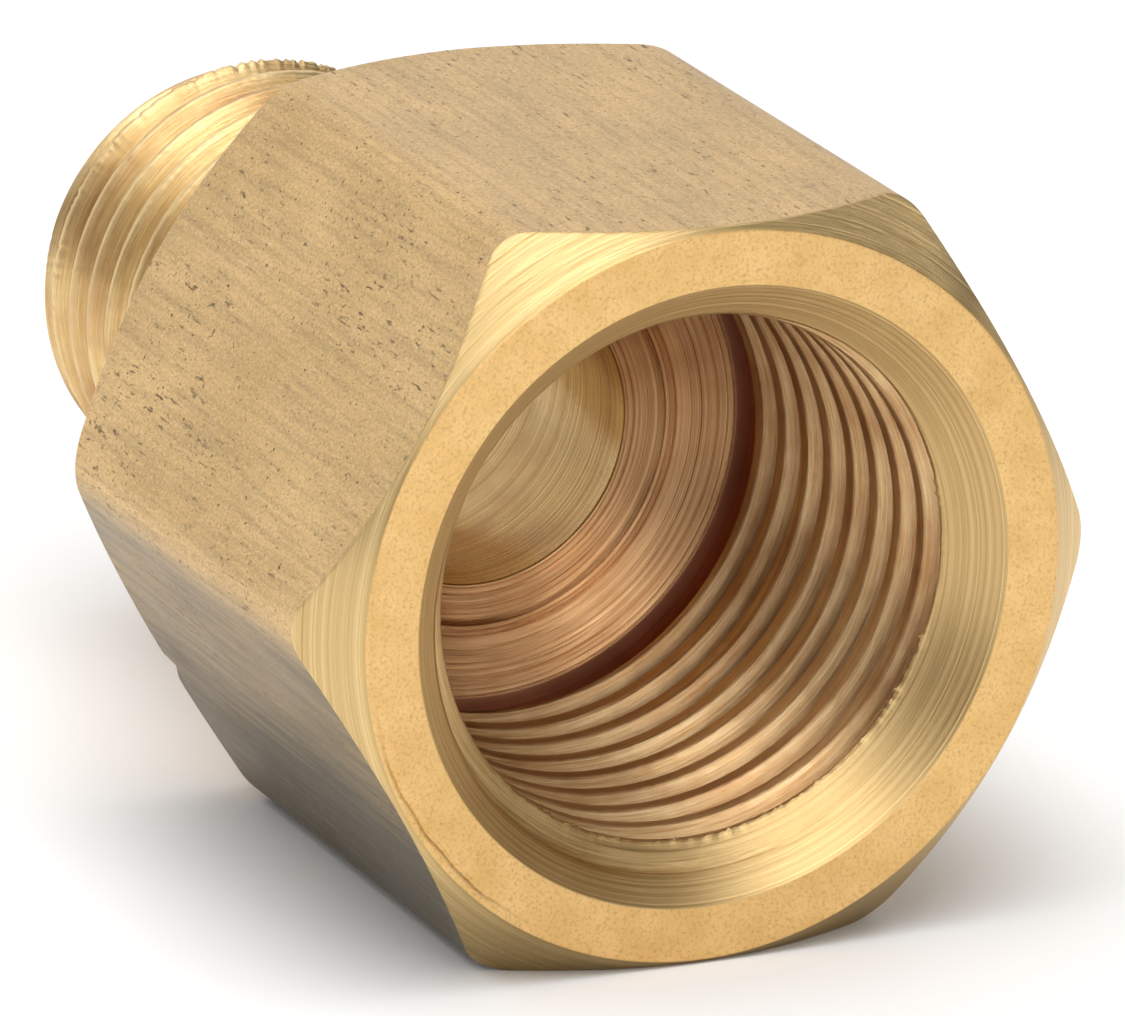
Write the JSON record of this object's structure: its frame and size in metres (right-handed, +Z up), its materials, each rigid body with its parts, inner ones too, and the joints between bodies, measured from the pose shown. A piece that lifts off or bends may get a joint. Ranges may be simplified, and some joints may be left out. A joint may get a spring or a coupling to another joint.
{
  "type": "flare fitting",
  "caption": "Brass hexagon adapter with a threaded socket at one end, a smaller threaded male stub with a 45 degree flare nose at the other, and a bore right through.",
  "frame": {"origin": "middle of the footprint of the whole part, on the surface that it lies on", "axes": "+X along the fitting's axis and out of the female socket, +Z up and square to the hexagon flat that it lies on, +Y across two hexagon ridges"},
  "size_m": [0.0324, 0.0234, 0.0206],
  "materials": {
    "brass": "as drawn on the hexagon flats, bright turned on the ends, the bevels and the threads"
  },
  "bodies": {
    "root": {"fitting_body": "brass"}
  },
  "joints": []
}
